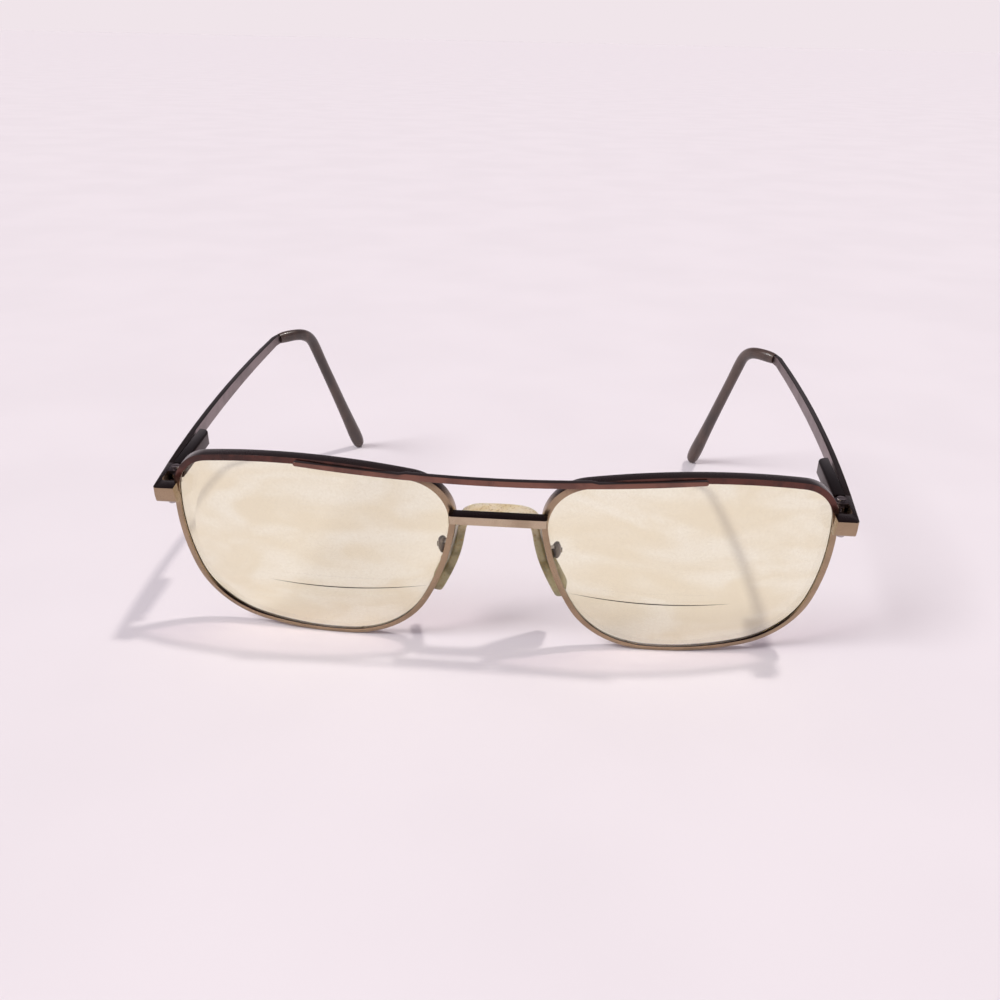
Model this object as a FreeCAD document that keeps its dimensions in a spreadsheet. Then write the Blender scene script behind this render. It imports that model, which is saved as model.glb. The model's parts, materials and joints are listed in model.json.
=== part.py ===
import FreeCAD, Part
import math
import os
import Sketcher
from FreeCAD import Placement, Rotation, Vector

# A pair of full-rim metal eyeglasses with a brow bar, a lower bridge, a strap nose pad,
# flat-top bifocal lenses and spring hinges.  +Z is up, +Y runs back towards the ears,
# +X is the right side seen from the front.  The rims' bottoms and the temple tips
# stand on Z = 0.  The right half is modelled, and the left half is its mirror image.

SIZES = [
    # eye outline: four long arcs joined by four corner arcs, at the rim's inner lip
    ("eyeWidth", 55.1), ("eyeHeight", 41.1),
    ("topRadius", 91.5), ("topCrest", 1.2),
    ("sideRadius", 52.8), ("sideCrest", 5.9),
    ("bottomRadius", 83.0), ("bottomCrest", -1.7),
    ("nasalRadius", 54.6), ("nasalCrest", 15.1),
    ("topSideCorner", 8.5), ("bottomSideCorner", 15.5),
    ("bottomNasalCorner", 18.7), ("topNasalCorner", 9.6),
    # where the eyes sit, and how the front leans, wraps and curves
    ("noseHalf", 8.15), ("frontSetback", -54.4), ("eyeLift", 21.0),
    ("frontTilt", 10.5), ("faceWrap", 3.7), ("baseRadius", 108.5),
    # rims and lenses
    ("rimWall", 1.2), ("rimDepth", 2.0), ("grooveReach", 0.5), ("grooveWidth", 0.9),
    ("rimSplit", 0.3), ("splitRise", 3.6),
    ("lensGap", 0.05), ("lensFront", 80.0), ("lensBulge", 0.5), ("lensBack", 2.15),
    ("segmentRadius", 68.0), ("segmentStep", 0.3), ("segmentLine", -7.1), ("segmentShift", 6.5),
    ("segmentSink", 0.2),
    # bridge and brow bar
    ("bridgeHalf", 9.5), ("bridgeDepth", 2.3), ("bridgeTall", 1.95), ("bridgeLevel", 9.75),
    ("bridgeRound", 0.6),
    ("barHalf", 38.2), ("barMiddle", 17.4), ("barTall", 1.35), ("barWingTall", 1.0),
    ("barDepth", 1.1), ("barWingDepth", 0.75), ("barLow", 18.2), ("barRise", 2.5),
    ("barStep", 0.45), ("barStepFoot", 0.2), ("barBack", 2.2), ("barBackEnd", 1.75), ("seatDepth", 8.0),
    # strap nose pad and its mounting
    ("padTop", 10.6), ("padWall", 1.7), ("padFront", 3.4), ("padDepthTop", 3.4),
    ("padDepthLow", 7.6), ("padBottom", -11.8), ("boxRadius", 1.1), ("boxLength", 2.4), ("armRadius", 0.45),
    ("padScrewProud", 0.15),
    # end-pieces and hinges
    ("pinBeside", 0.65), ("pinBehind", 9.1), ("pinZ", 33.47), ("templeRise", 5.0),
    ("endWall", 1.2), ("blockWide", 2.4), ("blockBehind", 3.7), ("lockBeside", 0.85),
    ("lockY", 4.7),
    ("footDepth", 3.1), ("footWidth", 4.1), ("endReach", 8.3), ("endDrop", 0.15), ("endTaper", 0.6),
    ("endInner", 0.9), ("endCorner", 0.8),
    ("endTall", 4.0), ("blockTall", 1.7), ("blockDepth", 2.0), ("lockScrew", 0.5),
    ("lockHead", 0.8), ("headTall", 0.5), ("slotWide", 0.24), ("slotDeep", 0.25), ("hingeHead", 0.85),
    ("shoulder", 2.0), ("shoulderGap", 0.09), ("knuckleRadius", 1.3), ("knuckleTall", 0.9),
    ("eyeThick", 1.0), ("sideGap", 0.05), ("pinRadius", 0.5), ("pinClearance", 0.03), ("eyeClearance", 0.1),
    # spring housing, slider and spring
    ("housingLength", 16.0), ("housingTall", 3.0), ("housingInner", 1.15), ("boreRadius", 0.78),
    ("rodRadius", 0.35), ("rodClearance", 0.05), ("rodLength", 16.2), ("collarRadius", 0.7),
    ("springWire", 0.1), ("springPitch", 0.9), ("frontWall", 1.0), ("rearWall", 0.8),
    ("collarLength", 1.0), ("springGap", 0.04), ("housingRound", 2.2), ("housingEdge", 0.5),
    # temples and tips
    ("stripThick", 1.2), ("stripTall", 2.9), ("stripNeck", 2.2), ("stripLength", 76.5),
    ("stripBow", 1.55), ("stripInward", 1.7),
    ("tipStraight", 3.8), ("tipRadius", 8.4), ("tipTurn", 71.2), ("tipTail", 39.73),
    ("kinkHeading", 52.0), ("tailHeading", 12.0), ("kinkLength", 2.1), ("kinkFade", 12.6),
    ("tipWide", 1.3), ("tipHigh", 1.5), ("coreRadius", 0.6), ("coreGap", 0.05),
    ("coreLength", 38.0),
]

doc = FreeCAD.newDocument("Eyeglasses")
sheet = doc.addObject("Spreadsheet::Sheet", "Sizes")
for row, (alias, value) in enumerate(SIZES, start=1):
    sheet.set("A%d" % row, alias)
    sheet.set("B%d" % row, str(value))
    sheet.setAlias("B%d" % row, alias)
doc.recompute()


def size(alias):
    return float(sheet.get(alias))


def bind(item, **expressions):
    for prop, expression in expressions.items():
        item.setExpression(prop, expression)
    return item


def add(kind, name, **expressions):
    return bind(doc.addObject(kind, name), **expressions)


def cut(name, base, tool):
    result = doc.addObject("Part::Cut", name)
    result.Base = base
    result.Tool = tool
    return result


def common(name, base, tool):
    result = doc.addObject("Part::Common", name)
    result.Base = base
    result.Tool = tool
    return result


def fuse(name, *pieces):
    result = doc.addObject("Part::MultiFuse", name)
    result.Shapes = list(pieces)
    result.Refine = True
    return result


def mirror(name, source):
    result = doc.addObject("Part::Mirroring", name)
    result.Source = source
    result.Normal = Vector(1, 0, 0)
    return result


def extrude(name, sketch, direction, length):
    prism = doc.addObject("Part::Extrusion", name)
    prism.Base = sketch
    prism.DirMode = "Custom"
    prism.Dir = direction
    prism.Solid = True
    prism.setExpression("LengthFwd", length)
    return prism


def loft(name, sections, ruled=False):
    result = doc.addObject("Part::Loft", name)
    result.Sections = sections
    result.Solid = True
    result.Ruled = ruled
    return result


def box(name, x, y, z, length, width, height):
    """A box whose corner and sides are sheet expressions."""
    block = add("Part::Box", name, Length=length, Width=width, Height=height)
    return bind(block, **{"Placement.Base.x": x, "Placement.Base.y": y, "Placement.Base.z": z})


def rod(name, radius, length, x, y, z, turn=None):
    """A cylinder along Z, or along Y when turned, whose sizes are sheet expressions."""
    bar = add("Part::Cylinder", name, Radius=radius, Height=length)
    if turn:
        bar.Placement.Rotation = turn
    return bind(bar, **{"Placement.Base.x": x, "Placement.Base.y": y, "Placement.Base.z": z})


# ---------------------------------------------------------------- frames of reference
# The front leans back at the bottom about a level line through the eyes' centres.
FRONT = Placement(Vector(0, size("frontSetback"), size("eyeLift")),
                  Rotation(Vector(1, 0, 0), size("frontTilt")))
# Each eye is also turned back at its outer side, to wrap the face.
EYE_CENTRE = size("noseHalf") + size("rimWall") + size("eyeWidth") / 2
EYE = FRONT.multiply(Placement(Vector(EYE_CENTRE, 0, 0),
                               Rotation(Vector(0, 0, 1), size("faceWrap"))))
# The temple's frame starts on the hinge pin, its Y runs along the temple.
PIN_X = EYE_CENTRE + size("eyeWidth") / 2 + size("rimWall") + size("pinBeside")
TEMPLE = Placement(Vector(PIN_X, size("frontSetback") + size("pinBehind"), size("pinZ")),
                   Rotation(Vector(1, 0, 0), size("templeRise")))
# How far outwards the end-piece's wall and the temple stand from the pin.
SHOULDER_OUT = size("knuckleRadius") - size("eyeClearance") + size("endWall")
UPRIGHT = Rotation(Vector(1, 0, 0), 90)      # turns a sketch's XY to XZ, facing forwards
PRISM_START = -12.0                          # eye prisms start well in front of the eye
ALONG = Vector(0, 1, 0)
UP = Vector(0, 0, 1)


# ---------------------------------------------------------------- eye outline
def corner_centre(first, first_radius, second, second_radius, radius, towards):
    """Centre of a corner arc that touches two long arcs from inside."""
    reach_a = first_radius - radius
    reach_b = second_radius - radius
    gap = second - first
    along = (reach_a ** 2 - reach_b ** 2 + gap.Length ** 2) / (2 * gap.Length)
    across = math.sqrt(reach_a ** 2 - along ** 2)
    unit = Vector(gap).normalize()
    middle = first + unit * along
    normal = Vector(-unit.y, unit.x, 0) * across
    return max((middle + normal, middle - normal), key=lambda point: point.dot(towards))


def angle_between(start, end):
    step = end - start
    return math.atan2(step.y, step.x)


def eye_outline(name, extra):
    """The eye's outline as a sketch, larger all round by the named sheet value."""
    grow = sum(sign * size(alias) for sign, alias in extra)
    suffix = "".join("%s Sizes.%s" % ("+" if sign > 0 else "-", alias) for sign, alias in extra)
    half_wide = size("eyeWidth") / 2
    half_tall = size("eyeHeight") / 2
    long_arcs = [
        ("sideRadius", Vector(half_wide - size("sideRadius"), size("sideCrest"), 0),
         "Sizes.eyeWidth / 2 - Sizes.sideRadius", "Sizes.sideCrest"),
        ("topRadius", Vector(size("topCrest"), half_tall - size("topRadius"), 0),
         "Sizes.topCrest", "Sizes.eyeHeight / 2 - Sizes.topRadius"),
        ("nasalRadius", Vector(size("nasalRadius") - half_wide, size("nasalCrest"), 0),
         "Sizes.nasalRadius - Sizes.eyeWidth / 2", "Sizes.nasalCrest"),
        ("bottomRadius", Vector(size("bottomCrest"), size("bottomRadius") - half_tall, 0),
         "Sizes.bottomCrest", "Sizes.bottomRadius - Sizes.eyeHeight / 2"),
    ]
    corners = [("topSideCorner", Vector(1, 1, 0)), ("topNasalCorner", Vector(-1, 1, 0)),
               ("bottomNasalCorner", Vector(-1, -1, 0)), ("bottomSideCorner", Vector(1, -1, 0))]
    arcs = []
    for index, (alias, centre, place_x, place_y) in enumerate(long_arcs):
        after = long_arcs[(index + 1) % 4]
        corner, towards = corners[index]
        middle = corner_centre(centre, size(alias), after[1], size(after[0]), size(corner), towards)
        arcs.append((alias, centre, place_x, place_y))
        arcs.append((corner, middle, None, None))
    turns = []
    for index in range(8):
        near, far = arcs[index][1], arcs[(index + 1) % 8][1]
        turns.append(angle_between(near, far) if index % 2 == 0 else angle_between(far, near))
    sketch = doc.addObject("Sketcher::SketchObject", name)
    sketch.Placement = Placement(Vector(0, PRISM_START, 0), UPRIGHT)
    for index, (alias, centre, place_x, place_y) in enumerate(arcs):
        circle = Part.Circle(centre, UP, size(alias) + grow)
        start = turns[index - 1]
        end = turns[index]
        while end < start:
            end += 2 * math.pi
        sketch.addGeometry(Part.ArcOfCircle(circle, start, end), False)
    for index in range(8):
        sketch.addConstraint(Sketcher.Constraint("Tangent", index, 2, (index + 1) % 8, 1))
    for index, (alias, centre, place_x, place_y) in enumerate(arcs):
        radius = sketch.addConstraint(Sketcher.Constraint("Radius", index, size(alias) + grow))
        sketch.setExpression("Constraints[%d]" % radius, "Sizes.%s %s" % (alias, suffix))
        if place_x:
            level = sketch.addConstraint(Sketcher.Constraint("DistanceX", -1, 1, index, 3, centre.x))
            sketch.setExpression("Constraints[%d]" % level, place_x)
            level = sketch.addConstraint(Sketcher.Constraint("DistanceY", -1, 1, index, 3, centre.y))
            sketch.setExpression("Constraints[%d]" % level, place_y)
    return sketch


def eye_prism(name, *extra):
    return extrude(name, eye_outline(name + "_outline", extra), ALONG, "40")


def eye_shell(name, front, depth):
    """A curved sheet that follows the lens, from front to front + depth behind its apex."""
    outer = add("Part::Sphere", name + "_front", Radius="Sizes.baseRadius - (%s)" % front)
    inner = add("Part::Sphere", name + "_back", Radius="Sizes.baseRadius - (%s) - (%s)" % (front, depth))
    for ball in (outer, inner):
        ball.setExpression("Placement.Base.y", "Sizes.baseRadius")
    return cut(name, outer, inner)


lip_prism = eye_prism("lip_prism")
groove_front = "Sizes.rimDepth / 2 - Sizes.grooveWidth / 2"


def make_rim():
    ring = cut("rim_ring", eye_prism("rim_prism", (1, "rimWall")), lip_prism)
    rim = common("rim_plain", ring, eye_shell("rim_shell", "0", "Sizes.rimDepth"))
    groove = common("rim_groove", eye_prism("groove_prism", (1, "grooveReach")),
                    eye_shell("groove_shell", groove_front, "Sizes.grooveWidth"))
    saw = add("Part::Box", "rim_saw", Length="3 * Sizes.rimWall", Width="20", Height="Sizes.rimSplit")
    bind(saw, **{"Placement.Base.x": "Sizes.eyeWidth / 2 - Sizes.rimWall",
                 "Placement.Base.z": "Sizes.sideCrest + Sizes.splitRise - Sizes.rimSplit / 2"})
    rim = cut("rim_right", cut("rim_grooved", rim, groove), saw)
    rim.Placement = EYE
    return rim


def eye_ball(name, radius, apex):
    """A ball whose foremost point is at the given depth on the eye's axis."""
    ball = add("Part::Sphere", name, Radius=radius)
    return bind(ball, **{"Placement.Base.y": "(%s) + (%s)" % (apex, radius)})


def make_lens():
    """A lens that bulges in front of its rim, with a bevel in the groove and a reading segment.

    The segment is a steeper ball that stands out of the lens and is cut off flat along its
    upper line, so that its ledge is highest there and fades out below."""
    body = cut("lens_body", eye_ball("lens_front_ball", "Sizes.lensFront", "-Sizes.lensBulge"),
               eye_ball("lens_back_ball", "Sizes.baseRadius - Sizes.lensBack", "Sizes.lensBack"))
    disc = common("lens_disc", eye_prism("lens_prism", (-1, "lensGap")), body)
    edge = common("lens_edge",
                  eye_prism("edge_prism", (1, "grooveReach"), (-1, "lensGap")),
                  eye_shell("edge_shell", groove_front + " + Sizes.lensGap",
                            "Sizes.grooveWidth - 2 * Sizes.lensGap"))
    middle = Vector(0, size("lensFront") - size("lensBulge"), 0)
    crest = Vector(-size("segmentShift"), 0, size("segmentLine"))
    crest.y = middle.y - math.sqrt(size("lensFront") ** 2 - crest.x ** 2 - crest.z ** 2)
    outward = (crest - middle).normalize()
    ball = add("Part::Sphere", "segment_ball", Radius="Sizes.segmentRadius")
    ball.Placement.Base = middle + outward * (size("lensFront") + size("segmentStep") - size("segmentRadius"))
    below = box("segment_below", "-30", "-3", "Sizes.segmentLine - 40", "60", "12", "40")
    cap = common("segment_cap", common("segment_slab", ball, below),
                 eye_prism("segment_prism", (-1, "lensGap")))
    core = eye_ball("segment_core", "Sizes.lensFront - Sizes.segmentSink",
                    "Sizes.segmentSink - Sizes.lensBulge")
    lens = fuse("lens_right", disc, edge, cut("segment", cap, core))
    lens.Placement = EYE
    return lens


# ---------------------------------------------------------------- bridge and brow bar
def closed_sketch(name, placement, steps):
    """A closed sketch from steps: a point for a line to it, or (through, point) for an arc."""
    sketch = doc.addObject("Sketcher::SketchObject", name)
    sketch.Placement = placement
    here = steps[-1] if isinstance(steps[-1], Vector) else steps[-1][1]
    for index, step in enumerate(steps):
        if isinstance(step, Vector):
            sketch.addGeometry(Part.LineSegment(here, step), False)
            here = step
        else:
            through, end = step
            sketch.addGeometry(Part.Arc(here, through, end), False)
            here = end
    return sketch


def make_bridge():
    bar = add("Part::Box", "bridge_bar", Length="2 * Sizes.bridgeHalf",
              Width="Sizes.bridgeDepth", Height="Sizes.bridgeTall")
    bind(bar, **{"Placement.Base.x": "-Sizes.bridgeHalf", "Placement.Base.z": "Sizes.bridgeLevel"})
    doc.recompute()
    bridge = doc.addObject("Part::Fillet", "bridge")
    bridge.Base = bar
    upright = [index + 1 for index, edge in enumerate(bar.Shape.Edges)
               if abs(edge.Vertexes[0].Z - edge.Vertexes[1].Z) > 1]
    front = [index for index in upright if bar.Shape.Edges[index - 1].CenterOfMass.y < 0.5]
    rounding = size("bridgeRound")
    bridge.Edges = [(index, rounding, rounding) for index in front]
    bridge.Placement = FRONT
    return bridge


def arch(x):
    """Height of the brow bar's lower edge above the bridge line at a distance x from the middle."""
    return size("barLow") + size("barRise") * (x / size("barHalf")) ** 2


def make_brow_bar():
    half = size("barHalf")
    middle = size("barMiddle")
    tall = size("barTall")
    wing = size("barWingTall")
    step = size("barStep")
    foot = size("barStepFoot")
    face = [Vector(-half, arch(half), 0), (Vector(0, arch(0), 0), Vector(half, arch(half), 0)),
            (Vector(half + wing / 2, arch(half) + wing / 2, 0), Vector(half, arch(half) + wing, 0)),
            Vector(middle + tall, arch(middle) + wing + foot, 0),
            Vector(middle, arch(middle) + wing + step, 0),
            (Vector(0, arch(0) + tall, 0), Vector(-middle, arch(middle) + wing + step, 0)),
            Vector(-middle - tall, arch(middle) + wing + foot, 0), Vector(-half, arch(half) + wing, 0),
            (Vector(-half - wing / 2, arch(half) + wing / 2, 0), Vector(-half, arch(half), 0))]
    front_view = closed_sketch("bar_front_view", Placement(Vector(0, -5, 0), UPRIGHT), face[1:])
    # Seen from above the bar lies against the rims, which curve away from it at both ends.
    back_mid = size("barBack")
    back_end = size("barBackEnd")
    front_mid = back_mid - size("barDepth")
    front_end = back_end - size("barWingDepth")
    ends = half + wing
    plan = [(Vector(0, front_mid, 0), Vector(ends, front_end, 0)), Vector(ends, back_end, 0),
            (Vector(0, back_mid, 0), Vector(-ends, back_end, 0)), Vector(-ends, front_end, 0)]
    plan_view = closed_sketch("bar_plan_view", Placement(), plan)
    bar = common("brow_bar", extrude("bar_front_prism", front_view, ALONG, "12"),
                 extrude("bar_plan_prism", plan_view, UP, "40"))
    bar.Placement = FRONT
    # Its back is hollowed by the front curve of both rims, so that it seats on them.
    seat = eye_shell("bar_seat_right", "0", "Sizes.seatDepth")
    seat.Placement = EYE
    bar = cut("bar_seated_right", bar, seat)
    return cut("bar_seated", bar, mirror("bar_seat_left", seat))


# ---------------------------------------------------------------- pieces on the front
BACKWARDS = Rotation(Vector(1, 0, 0), -90)   # turns a cylinder's Z to +Y


def make_end_piece():
    reach = size("endReach")
    outer = SHOULDER_OUT
    inner = outer - size("endWall")
    front = outer - size("endTaper")
    foot_end = front - size("footWidth")
    foot_back = size("footDepth") - reach
    bend = size("endInner")
    corner = size("endCorner")
    dip = 1 - math.sqrt(0.5)                 # how far a quarter circle's middle is from its sides
    plan = [Vector(outer, size("shoulder"), 0), Vector(inner, size("shoulder"), 0),
            Vector(inner, foot_back + bend, 0),
            (Vector(inner - bend * dip, foot_back + bend * dip, 0), Vector(inner - bend, foot_back, 0)),
            Vector(foot_end, foot_back, 0), Vector(foot_end, -reach, 0), Vector(front - corner, -reach, 0),
            (Vector(front - corner * dip, corner * dip - reach, 0), Vector(front, corner - reach, 0))]
    plan_view = closed_sketch("end_plan_view", Placement(Vector(0, 0, -6), Rotation()), plan)
    top = size("stripTall") / 2
    front_top = top - size("endDrop")
    front_low = front_top - size("endTall")
    lean = math.tan(math.radians(size("frontTilt") + size("templeRise"))) * size("endTall")
    side = [Vector(-reach, front_top, 0), Vector(size("shoulder"), top, 0),
            Vector(size("shoulder"), -top, 0), Vector(corner - reach + lean, front_low, 0),
            (Vector(corner * dip - reach + lean, front_low + corner * dip, 0),
             Vector(lean * (1 - corner / size("endTall")) - reach, front_low + corner, 0))]
    side_placement = Placement(Vector(-8, 0, 0), Rotation(Vector(1, 1, 1), 120))
    side_view = closed_sketch("end_side_view", side_placement, side)
    piece = common("end_piece_right", extrude("end_plan_prism", plan_view, UP, "12"),
                   extrude("end_side_prism", side_view, Vector(1, 0, 0), "16"))
    piece.Placement = TEMPLE
    return piece


SPLIT_TOP = "Sizes.sideCrest + Sizes.splitRise + Sizes.rimSplit / 2"
SPLIT_BOTTOM = "Sizes.sideCrest + Sizes.splitRise - Sizes.rimSplit / 2"


LOCK_X = "Sizes.eyeWidth / 2 + Sizes.rimWall + Sizes.lockBeside"


def make_closing_blocks():
    """Two blocks on the split rim, one above the other, that the lock screw pulls together."""
    rim = doc.getObject("rim_prism")
    blocks = []
    for name, level in (("closing_block_upper_right", SPLIT_TOP),
                        ("closing_block_lower_right", SPLIT_BOTTOM + " - Sizes.blockTall")):
        block = box(name + "_blank", "Sizes.eyeWidth / 2 + Sizes.rimWall / 2", "Sizes.blockBehind",
                    level, "Sizes.blockWide", "Sizes.blockDepth", "Sizes.blockTall")
        hole = rod(name + "_hole", "Sizes.lockScrew + Sizes.pinClearance", "4 * Sizes.blockTall",
                   LOCK_X, "Sizes.lockY", "Sizes.sideCrest")
        block = cut(name + "_drilled", block, hole)
        block = cut(name, block, rim)
        block.Placement = EYE
        blocks.append(block)
    return blocks


def make_lock_screw():
    foot = SPLIT_BOTTOM + " - Sizes.blockTall"
    shank = rod("lock_shank", "Sizes.lockScrew", "2 * Sizes.blockTall + Sizes.rimSplit",
                LOCK_X, "Sizes.lockY", foot)
    head = rod("lock_head", "Sizes.lockHead", "Sizes.headTall", LOCK_X, "Sizes.lockY",
               foot + " - Sizes.headTall")
    slot = box("lock_slot", LOCK_X + " - 2 * Sizes.lockHead", "Sizes.lockY - Sizes.slotWide / 2",
               foot + " - 2 * Sizes.headTall + Sizes.slotDeep",
               "4 * Sizes.lockHead", "Sizes.slotWide", "Sizes.headTall")
    screw = cut("rim_lock_screw_right", fuse("lock_screw_plain", shank, head), slot)
    screw.Placement = EYE
    return screw


# ---------------------------------------------------------------- hinge
def make_knuckles(end_piece):
    """Two knuckles on the end-piece's wall, one above and one below the slider's eye."""
    half_gap = "(Sizes.eyeThick / 2 + Sizes.sideGap)"
    levels = (half_gap, "-%s - Sizes.knuckleTall" % half_gap)
    leaves = []
    for index, level in enumerate(levels):
        name = "knuckle_%d" % index
        barrel = rod(name + "_barrel", "Sizes.knuckleRadius", "Sizes.knuckleTall", "0", "0", level)
        web = box(name + "_web", "0", "-Sizes.knuckleRadius", level,
                  "Sizes.knuckleRadius - Sizes.eyeClearance", "2 * Sizes.knuckleRadius", "Sizes.knuckleTall")
        leaves += [barrel, web]
    hole = rod("knuckle_hole", "Sizes.pinRadius + Sizes.pinClearance", "8", "0", "0", "-4")
    hinge = cut("knuckles_drilled", fuse("knuckles", *leaves), hole)
    hinge.Placement = TEMPLE
    return cut("hinge_front_right", hinge, end_piece)


def make_hinge_screw():
    top = "Sizes.eyeThick / 2 + Sizes.sideGap + Sizes.knuckleTall"
    seat = top + " + Sizes.pinClearance"
    shank = rod("hinge_shank", "Sizes.pinRadius", "2 * (%s) + Sizes.pinClearance" % top, "0", "0",
                "-(%s)" % top)
    head = rod("hinge_head", "Sizes.hingeHead", "Sizes.headTall", "0", "0", seat)
    slot = box("hinge_slot", "-2 * Sizes.hingeHead", "-Sizes.slotWide / 2",
               seat + " + Sizes.headTall - Sizes.slotDeep",
               "4 * Sizes.hingeHead", "Sizes.slotWide", "Sizes.headTall")
    screw = cut("hinge_screw_right", fuse("hinge_screw_plain", shank, head), slot)
    screw.Placement = TEMPLE
    return screw


def make_slider():
    half = "Sizes.eyeThick / 2"
    eye = rod("slider_eye", "Sizes.knuckleRadius - Sizes.eyeClearance", "Sizes.eyeThick",
              "0", "0", "-" + half)
    neck = box("slider_neck", "-" + half, "0", "-" + half, "Sizes.eyeThick",
               "Sizes.shoulder - Sizes.eyeClearance", "Sizes.eyeThick")
    hole = rod("slider_hole", "Sizes.pinRadius + Sizes.pinClearance", "8", "0", "0", "-4")
    stem_start = "(Sizes.knuckleRadius - Sizes.eyeClearance)"
    stem = rod("slider_stem", "Sizes.rodRadius", "Sizes.rodLength - " + stem_start,
               "0", stem_start, "0", BACKWARDS)
    collar = rod("slider_collar", "Sizes.collarRadius", "Sizes.collarLength",
                 "0", "Sizes.rodLength - Sizes.collarLength", "0", BACKWARDS)
    ring = cut("slider_ring", fuse("slider_head", eye, neck), hole)
    slider = fuse("hinge_slider_right", ring, stem, collar)
    slider.Placement = TEMPLE
    return slider


def make_housing():
    start = "Sizes.shoulder + Sizes.shoulderGap"
    block = box("housing_block", "-Sizes.housingInner", start, "-Sizes.housingTall / 2",
                "Sizes.housingInner - Sizes.stripThick + Sizes.endWall + Sizes.knuckleRadius"
                " - Sizes.eyeClearance", "Sizes.housingLength", "Sizes.housingTall")
    doc.recompute()
    rounded = doc.addObject("Part::Fillet", "housing_rounded")
    rounded.Base = block
    far = size("shoulder") + size("housingLength")
    inside = -size("housingInner")
    big = size("housingRound")
    small = size("housingEdge")
    edges = []
    for index, edge in enumerate(block.Shape.Edges):
        middle = edge.CenterOfMass
        if middle.x < inside + small / 2 and abs(middle.z) < small / 2 and middle.y > far - small:
            edges.append((index + 1, big, big))
        elif middle.x < inside + small / 2 and abs(middle.z) > small:
            edges.append((index + 1, small, small))
    rounded.Edges = edges
    bore = rod("housing_bore", "Sizes.boreRadius", "Sizes.housingLength - Sizes.frontWall - Sizes.rearWall",
               "0", start + " + Sizes.frontWall", "0", BACKWARDS)
    mouth = rod("housing_mouth", "Sizes.rodRadius + Sizes.rodClearance", "4 * Sizes.frontWall",
                "0", start + " - Sizes.frontWall", "0", BACKWARDS)
    housing = cut("spring_housing_right", cut("housing_bored", rounded, bore), mouth)
    housing.Placement = TEMPLE
    return housing


def make_spring():
    margin = size("springWire") + size("springGap")
    start = size("shoulder") + size("shoulderGap") + size("frontWall") + margin
    end = size("rodLength") - size("collarLength") - margin
    coil_radius = (size("rodRadius") + size("boreRadius")) / 2
    helix = doc.addObject("Part::Helix", "spring_path")
    helix.Radius = coil_radius
    helix.Height = end - start
    helix.setExpression("Pitch", "Sizes.springPitch")
    wire = add("Part::Circle", "spring_wire", Radius="Sizes.springWire")
    wire.Placement = Placement(Vector(coil_radius, 0, 0), Rotation(Vector(1, 0, 0), 90))
    coil = doc.addObject("Part::Sweep", "flex_spring_right")
    coil.Sections = [wire]
    coil.Spine = (helix, ["Edge1"])
    coil.Solid = True
    coil.Frenet = True
    coil.Placement = TEMPLE.multiply(Placement(Vector(0, start, 0), BACKWARDS))
    return coil


# ---------------------------------------------------------------- temples and tips
def strip_lateral(distance):
    """How far outside the pin the strip's middle lies: it bows outwards and draws in."""
    share = (distance - size("shoulder")) / (size("stripLength") - size("shoulder"))
    outer = SHOULDER_OUT - size("stripInward") * share + 4 * size("stripBow") * share * (1 - share)
    return outer - size("stripThick") / 2


def trace_temple(step):
    """Points along the temple's centre line in its own frame, one step of length apart.

    The strip runs straight back.  The tip is bent inwards where it starts, which fades to a
    smaller angle, while it turns down behind the ear on an arc."""
    level = (size("stripTall") - size("stripNeck")) / 2
    length = size("stripLength")
    kink = size("kinkLength")
    points = [Vector(strip_lateral(step * index), step * index, level)
              for index in range(int((length - kink) / step) + 1)]
    rise = strip_lateral(length - kink) - strip_lateral(length - kink - step)
    first_heading = -math.atan(rise / step)
    kink_heading = math.radians(size("kinkHeading"))
    tail_heading = math.radians(size("tailHeading"))
    turn = math.radians(size("tipTurn"))
    reach = size("tipStraight") + size("tipRadius") * turn + size("tipTail")
    while len(points) * step < length + reach + 2 * step:
        past = len(points) * step - length
        if past < kink:
            share = (past + kink) / (2 * kink)
            heading = first_heading + (kink_heading - first_heading) * share
        else:
            share = min((past - kink) / (size("kinkFade") - kink), 1)
            heading = kink_heading + (tail_heading - kink_heading) * share
        down = min(max((past - size("tipStraight")) / size("tipRadius"), 0), turn)
        points.append(points[-1] + Vector(-math.sin(heading), math.cos(heading) * math.cos(down),
                                          -math.cos(heading) * math.sin(down)) * step)
    return points


TRACE_STEP = 0.25
TRACE = trace_temple(TRACE_STEP)


def temple_point(distance):
    index = min(int(distance / TRACE_STEP), len(TRACE) - 2)
    share = distance / TRACE_STEP - index
    return TRACE[index] + (TRACE[index + 1] - TRACE[index]) * share


def section_placement(distance):
    """A plane across the temple: its X is level and its Y points up the section."""
    here = temple_point(distance)
    tangent = (temple_point(distance + 0.5) - temple_point(distance - 0.5)).normalize()
    across = tangent.cross(UP).normalize()
    up = across.cross(tangent)
    turn = Rotation(across, up, -tangent, "ZXY")
    return TEMPLE.multiply(Placement(here, turn))


def oval(name, wide, tall, factor, distance):
    """An ellipse across the temple, a factor times the named half-width and half-height."""
    ring = doc.addObject("Part::Ellipse", name)
    longer, shorter, turn = wide, tall, 0
    if size(tall) > size(wide):
        longer, shorter, turn = tall, wide, 90
    bind(ring, MajorRadius="%s * Sizes.%s" % (factor, longer),
         MinorRadius="%s * Sizes.%s" % (factor, shorter))
    ring.Placement = section_placement(distance).multiply(Placement(Vector(), Rotation(UP, turn)))
    return ring


def make_core(name, radius):
    """A round wire along the centre line, from inside the strip's end to deep in the tip."""
    count = 15
    start = size("stripLength") - 1
    end = size("stripLength") + size("coreLength")
    rings = []
    for index in range(count):
        ring = add("Part::Circle", "%s_ring_%d" % (name, index), Radius=radius)
        ring.Placement = section_placement(start + (end - start) * index / (count - 1))
        rings.append(ring)
    return loft(name, rings)


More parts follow.
